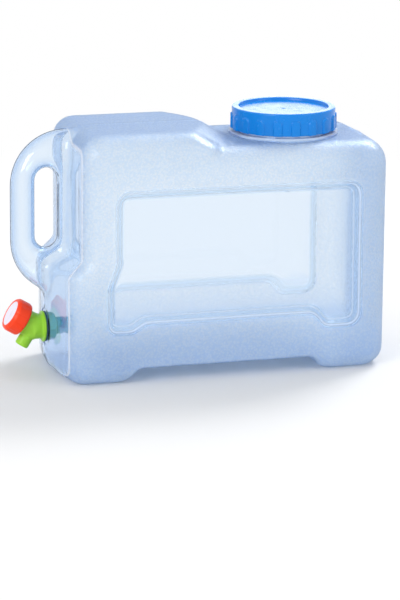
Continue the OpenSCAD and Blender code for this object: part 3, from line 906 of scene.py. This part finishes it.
def blended(tree, share, first, second):
    """A shader that is the second one by its share and the first one for the rest."""
    return node(tree, "ShaderNodeMixShader", {0: share, 1: first.outputs[0], 2: second.outputs[0]})


def maths(tree, how, a, b=0.0, clamp=False):
    return node(tree, "ShaderNodeMath", {0: a, 1: b}, operation=how, use_clamp=clamp).outputs[0]


def product(tree, a, b):
    return maths(tree, "MULTIPLY", a, b)


def larger(tree, a, b):
    return maths(tree, "MAXIMUM", a, b)


def ranged(tree, value, low, high, out_low, out_high):
    return node(tree, "ShaderNodeMapRange", {"Value": value, "From Min": low, "From Max": high,
                                             "To Min": out_low, "To Max": out_high}).outputs["Result"]


def srgb(r, g, b):
    return (*[(v / 255 / 12.92) if v / 255 <= 0.04045 else ((v / 255 + 0.055) / 1.055) ** 2.4
              for v in (r, g, b)], 1.0)


# %% Where the shell is clear, and where the painted highlight lines go
TAP_END_LOW, TAP_END_HIGH = -160.8, -146.8

bottle_plastic, tree, surface = new_material("bottle_plastic")
# The depth attribute holds the deeper blue and the painted shade
by_panel, sloping, depth_and_shade, outer_face = [
    node(tree, "ShaderNodeAttribute", attribute_name=name).outputs["Fac"]
    for name in ("by_panel", "sloping", "depth", "outer")]
where = here(tree)
along, across, up = node(tree, "ShaderNodeSeparateXYZ", {0: where}).outputs
side = maths(tree, "ABSOLUTE", across)
sunk = ranged(tree, side, (HALF_W - 1.1) * MM, (HALF_W - 0.4) * MM, 1, 0)
panel = product(tree, by_panel, sunk)
on_neck = product(tree, ranged(tree, up, (SHOULDER_H + 0.2) * MM, (SHOULDER_H + 0.8) * MM, 0, 1),
                  ranged(tree, along, (SHIFT + 15) * MM, (SHIFT + 20) * MM, 0, 1))
border = node(tree, "ShaderNodeMapRange", {
    "Value": up, "From Min": STEP_Z * MM, "From Max": (STEP_Z + STEP_H) * MM,
    "To Min": (SHIFT + TAP_END_LOW) * MM, "To Max": (SHIFT + TAP_END_HIGH) * MM},
    interpolation_type="SMOOTHSTEP").outputs["Result"]
past = maths(tree, "SUBTRACT", along, border)
tap_end = ranged(tree, past, -0.3 * MM, 0.3 * MM, 1, 0)
# Painted highlight: a white line where the clear tap end meets the grain
tap_end_highlight = ranged(tree, maths(tree, "ABSOLUTE", past), 0.3 * MM, 1.1 * MM, 1, 0)
zone = larger(tree, larger(tree, panel, on_neck), tap_end)


def painted_rim_line(depth, width):
    """A painted highlight line on the sloping border of the panels, at one depth below the flat side.
    """
    off = maths(tree, "ABSOLUTE", maths(tree, "SUBTRACT", side, (HALF_W - depth) * MM))
    return product(tree, ranged(tree, off, 0.2 * MM, width * MM, 1, 0), panel)


# Painted highlights: two pale lines on each panel's sloping border, weaker on the back panel
rim_highlight = larger(tree, painted_rim_line(2.4, 1.4), product(tree, painted_rim_line(7.6, 1.2), 0.8))
front = ranged(tree, across, -1 * MM, 1 * MM, 0.8, 0.25)
rim_highlight = product(tree, rim_highlight, front)
# Painted highlight: a white band on the neck just above its ring
above_ring = ranged(tree, up, (SHOULDER_H + 3.4) * MM, (SHOULDER_H + 4.4) * MM, 0.75, 0)
ring = product(tree, on_neck, above_ring)
slope = product(tree, sunk, sloping)

# %% Clear blue shell
pebbles = node(tree, "ShaderNodeTexVoronoi", {"Vector": where, "Scale": 430.0, "Smoothness": 0.6},
               feature="SMOOTH_F1").outputs["Distance"]
grain = maths(tree, "ADD", pebbles, noise(tree, 700, 2.0, 0.6))
waves = noise(tree, 60, 1.0, 0.4)
frosted = mixed(tree, ranged(tree, grain, 0.6, 1.2, 0, 1), srgb(255, 255, 255), srgb(238, 245, 252))
even = mixed(tree, zone, frosted, srgb(251, 253, 255))
# Deeper blue base colour where the depth number is high, which is mostly painted shade
blue = mixed(tree, depth_and_shade, even, srgb(222, 236, 253))
tree.links.new(blue, surface.inputs["Base Color"])
surface.inputs["Transmission Weight"].default_value = 1.0
surface.inputs["IOR"].default_value = 1.45
blasted = product(tree, maths(tree, "SUBTRACT", 1.0, zone), outer_face)
dull = larger(tree, ranged(tree, blasted, 0, 1, 0.04, 0.4), product(tree, slope, 0.3))
tree.links.new(dull, surface.inputs["Roughness"])
fine = node(tree, "ShaderNodeBump", {"Height": grain, "Distance": 0.0006,
                                     "Strength": ranged(tree, blasted, 0, 1, 0.0, 0.7)})
soft = node(tree, "ShaderNodeBump", {"Height": waves, "Distance": 0.0006, "Strength": 0.25,
                                     "Normal": fine.outputs["Normal"]})
tree.links.new(soft.outputs["Normal"], surface.inputs["Normal"])

# %% Milkiness, painted highlight lines and painted shade in the blue
milk = node(tree, "ShaderNodeBsdfDiffuse", {"Normal": soft.outputs["Normal"]})
# Painted highlights: the tap-end line, the rim lines and the neck band make the milk white
painted_highlights = larger(tree, larger(tree, tap_end_highlight, rim_highlight), ring)
speck = ranged(tree, grain, 0.7, 1.15, 0, 1)
pale = mixed(tree, speck, srgb(255, 255, 255), srgb(196, 224, 254))
# The milk turns a deeper blue where the painted shade lies
shaded_milk = mixed(tree, speck, srgb(214, 232, 255), srgb(112, 164, 240))
tree.links.new(mixed(tree, painted_highlights, mixed(tree, depth_and_shade, pale, shaded_milk), srgb(252, 253, 255)),
               milk.inputs["Color"])
through = node(tree, "ShaderNodeBsdfTranslucent", {"Normal": soft.outputs["Normal"]})
tree.links.new(mixed(tree, depth_and_shade, srgb(232, 243, 253), srgb(190, 216, 248)), through.inputs["Color"])
milky = blended(tree, 0.4, milk, through)
# More blue milk where the blue is deepened for painted shade
shaded_share = product(tree, depth_and_shade, ranged(tree, zone, 0, 1, 0.16, 0.04))
share = maths(tree, "ADD", ranged(tree, zone, 0, 1, 0.15, 0.02), product(tree, painted_highlights, 0.6))
share = maths(tree, "ADD", share, shaded_share)
share = maths(tree, "ADD", share, product(tree, slope, 0.03), clamp=True)
share = product(tree, share, outer_face)
straight = node(tree, "ShaderNodeBsdfTransparent", {"Color": srgb(248, 252, 255)})
calm = blended(tree, product(tree, slope, 0.9), surface, straight)
wall = blended(tree, share, calm, milky)
tree.links.new(wall.outputs[0], tree.nodes["Material Output"].inputs["Surface"])
swallow = node(tree, "ShaderNodeVolumeAbsorption", {"Color": (0.2, 0.6, 0.98, 1), "Density": 48.0})
tree.links.new(swallow.outputs[0], tree.nodes["Material Output"].inputs["Volume"])


# %% [markdown]
# The cap, knob and spigot are injection moulded in solid colours. Each gets its colour with a small
# variation, a satin gloss and a faint skin texture, because moulded polyethylene is never a mirror.

# %% Solid plastics
def moulded(name, colour, dark, rough, shine=0.35, depth=0.00003):
    material, tree, surface = new_material(name)
    tree.links.new(mixed(tree, noise(tree, 40), colour, dark), surface.inputs["Base Color"])
    tree.links.new(ranged(tree, noise(tree, 150), 0.3, 0.7, rough - 0.05, rough + 0.07),
                   surface.inputs["Roughness"])
    surface.inputs["IOR"].default_value = 1.5
    surface.inputs["Specular IOR Level"].default_value = shine
    skin = node(tree, "ShaderNodeBump", {"Height": noise(tree, 900, 3.0), "Strength": 0.2,
                                         "Distance": depth})
    tree.links.new(skin.outputs["Normal"], surface.inputs["Normal"])
    return material


cap_plastic = moulded("cap_plastic", srgb(2, 129, 216), srgb(0, 121, 208), 0.22, 0.3, depth=0.000008)
red_plastic = moulded("red_plastic", srgb(252, 66, 14), srgb(246, 56, 10), 0.36)
green_plastic = moulded("green_plastic", srgb(156, 214, 60), srgb(146, 206, 50), 0.34)
white_plastic = moulded("white_plastic", srgb(240, 232, 246), srgb(232, 226, 240), 0.4)
white_rubber = moulded("white_rubber", srgb(236, 238, 238), srgb(226, 228, 230), 0.6)
dark_rubber = moulded("dark_rubber", srgb(52, 84, 96), srgb(42, 70, 82), 0.55)
grey_rubber = moulded("grey_rubber", srgb(140, 144, 148), srgb(126, 130, 134), 0.6)

# %% [markdown]
# The pipe and the nut stand behind the bottle's blue wall, where their green looks teal. The wall's
# own tint is too faint over so short a way, so the teal is painted on them past the wall: it stands
# for the wall's blue and the pale light that its frosted face scatters in front of them.

# %% Green seen through blue, painted teal
tree = green_plastic.node_tree
surface = tree.nodes["Principled BSDF"]
seen_green = surface.inputs["Base Color"].links[0].from_socket
along = node(tree, "ShaderNodeSeparateXYZ", {0: here(tree)}).outputs["X"]
# Painted: teal in place of the blue wall's tint and its scattered light over the green
inside = ranged(tree, along, (SHIFT + SEAT_X) * MM, (SHIFT + SEAT_X + 1) * MM, 0, 1)
tree.links.new(mixed(tree, inside, seen_green, srgb(112, 192, 214)), surface.inputs["Base Color"])

# %% Each piece gets its plastic
for piece, material in ((body, bottle_plastic), (cap, cap_plastic), (spigot, green_plastic),
                        (knob, red_plastic), (disc, white_plastic), (nut, green_plastic),
                        (seat_ring, dark_rubber)):
    piece.data.materials.clear()
    piece.data.materials.append(material)

for name, material in (("cap_gasket", white_rubber), ("valve_stem", white_plastic),
                       ("stem_o_ring", dark_rubber), ("seal_disc", grey_rubber)):
    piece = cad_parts[name]
    for slot in piece.material_slots:
        slot.material = material

# %% [markdown]
# ## Who rides on what
# Each piece rides on the CAD body that it belongs to, and the CAD node that it stands for is hidden.

# %% Riding
for piece, body_name, cad_node, slot in (
        (body, "bottle", "carboy_body", "bottle_plastic"),
        (cap, "cap", "screw_cap", "cap_plastic"),
        (spigot, "bottle", "spigot_body", "green_plastic"),
        (nut, "bottle", "spigot_nut", "green_plastic"),
        (seat_ring, "bottle", "flange_gasket", "dark_rubber"),
        (knob, "knob", "spigot_knob", "red_plastic"),
        (disc, "knob", "knob_disc", "white_plastic")):
    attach(piece, body_name)
    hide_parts(cad_node)

# %% [markdown]
# ## Camera
# The camera stands where the photograph was taken from: well back, a little above, and turned
# towards the tap end. The long lens keeps the bottle's sides almost parallel.

# %% Camera
YAW, PITCH, ROLL = 0.287694, 0.226844, 0.0089009
FOCAL_PX, IMAGE_H, CENTRE_Y = 2831.42, 600, 240
forward = Vector((math.sin(YAW) * math.cos(PITCH), math.cos(YAW) * math.cos(PITCH),
                  -math.sin(PITCH)))
level = Vector((math.cos(YAW), -math.sin(YAW), 0))
above = level.cross(forward)
right = level * math.cos(ROLL) + above * math.sin(ROLL)
upward = above * math.cos(ROLL) - level * math.sin(ROLL)
lens = bpy.data.cameras.new("camera")
lens.sensor_width = 36
lens.lens = 36 * FOCAL_PX / IMAGE_H
lens.shift_y = (CENTRE_Y - IMAGE_H / 2) / IMAGE_H
lens.clip_start, lens.clip_end = 0.05, 50
camera = bpy.data.objects.new("camera", lens)
bpy.context.scene.collection.objects.link(camera)
camera.matrix_world = Matrix.Translation(Vector((-775.6, -2660.0, 765.5)) * MM) @ Matrix(
    (right, upward, -forward)).transposed().to_4x4()
bpy.context.scene.camera = camera

# %% [markdown]
# ## Floor, backdrop and light
# The photograph is on white. The floor is a plain pale sheet that keeps the soft shadow and turns to
# white further off, and the world shows white to the camera, to reflections and through the clear
# plastic. The world gives most of the light. A soft lamp from behind on the right throws the shadow
# forward and to the left, two more fill from the front, and a low one behind lights the cap alone:
# it is the bright patch that the cap's sunken disc mirrors.

# %% Stage
floor = make_mesh("floor", np.array([[-6000, -6000, 0], [6000, -6000, 0], [6000, 6000, 0],
                                     [-6000, 6000, 0]]), [(0, 1, 2, 3)])
floor_paper, tree, surface = new_material("floor_paper")
surface.inputs["Base Color"].default_value = (0.8, 0.8, 0.8, 1)
surface.inputs["Roughness"].default_value = 0.9
surface.inputs["Specular IOR Level"].default_value = 0.1


def shown_only(tree):
    """1 for rays from the camera, from reflections and through clear plastic, else 0."""
    path = node(tree, "ShaderNodeLightPath").outputs
    direct = larger(tree, path["Is Camera Ray"], path["Is Glossy Ray"])
    return larger(tree, direct, path["Is Transmission Ray"])


away = node(tree, "ShaderNodeVectorMath", {0: here(tree)}, operation="LENGTH").outputs["Value"]
far = ranged(tree, away, 0.25, 1.1, 0.0, 1.0)
through = node(tree, "ShaderNodeLightPath").outputs["Is Transmission Ray"]
lift = node(tree, "ShaderNodeMath", {0: through, 1: 0.85, 2: far}, operation="MULTIPLY_ADD").outputs[0]
lift = maths(tree, "MULTIPLY", lift, shown_only(tree), clamp=True)
glow = node(tree, "ShaderNodeEmission", {"Color": (1, 1, 1, 1), "Strength": 1.0})
paper = blended(tree, lift, surface, glow)
tree.links.new(paper.outputs[0], tree.nodes["Material Output"].inputs["Surface"])
floor.data.materials.append(floor_paper)

world = bpy.data.worlds.new("studio")
bpy.context.scene.world = world
world.use_nodes = True
tree = world.node_tree
tree.nodes.clear()
lit = node(tree, "ShaderNodeBackground", {"Color": (0.96, 0.97, 0.99, 1), "Strength": 0.76})
shown = node(tree, "ShaderNodeBackground", {"Color": (1, 1, 1, 1), "Strength": 1.0})
blend = blended(tree, shown_only(tree), lit, shown)
node(tree, "ShaderNodeOutputWorld", {"Surface": blend.outputs[0]})


def softbox(name, at, aim, size, power):
    lamp = bpy.data.lights.new(name, "AREA")
    lamp.shape, lamp.size, lamp.size_y, lamp.energy = "RECTANGLE", size[0], size[1], power
    holder = bpy.data.objects.new(name, lamp)
    bpy.context.scene.collection.objects.link(holder)
    holder.location = at
    holder.rotation_mode = "QUATERNION"
    holder.rotation_quaternion = (Vector(aim) - Vector(at)).to_track_quat("-Z", "Y")
    return holder


key = softbox("key", (1.3, 0.9, 1.7), (0, 0, 0.1), (0.8, 0.8), 29)
key.visible_glossy = False
softbox("side", (1.6, -1.8, 1.0), (0, 0, 0.12), (1.2, 1.2), 9)
softbox("fill", (-1.8, -1.6, 1.2), (-0.1, 0, 0.1), (1.2, 1.2), 28)
gloss = softbox("gloss", (0.77, 2.06, 0.65), (0.098, 0, 0.262), (1.6, 0.9), 8)
gloss.visible_camera = gloss.visible_transmission = False
only_cap = bpy.data.collections.new("lit_by_gloss")
only_cap.objects.link(cap)
gloss.light_linking.receiver_collection = only_cap

# %% Settings
bpy.context.scene.view_settings.view_transform = "Standard"
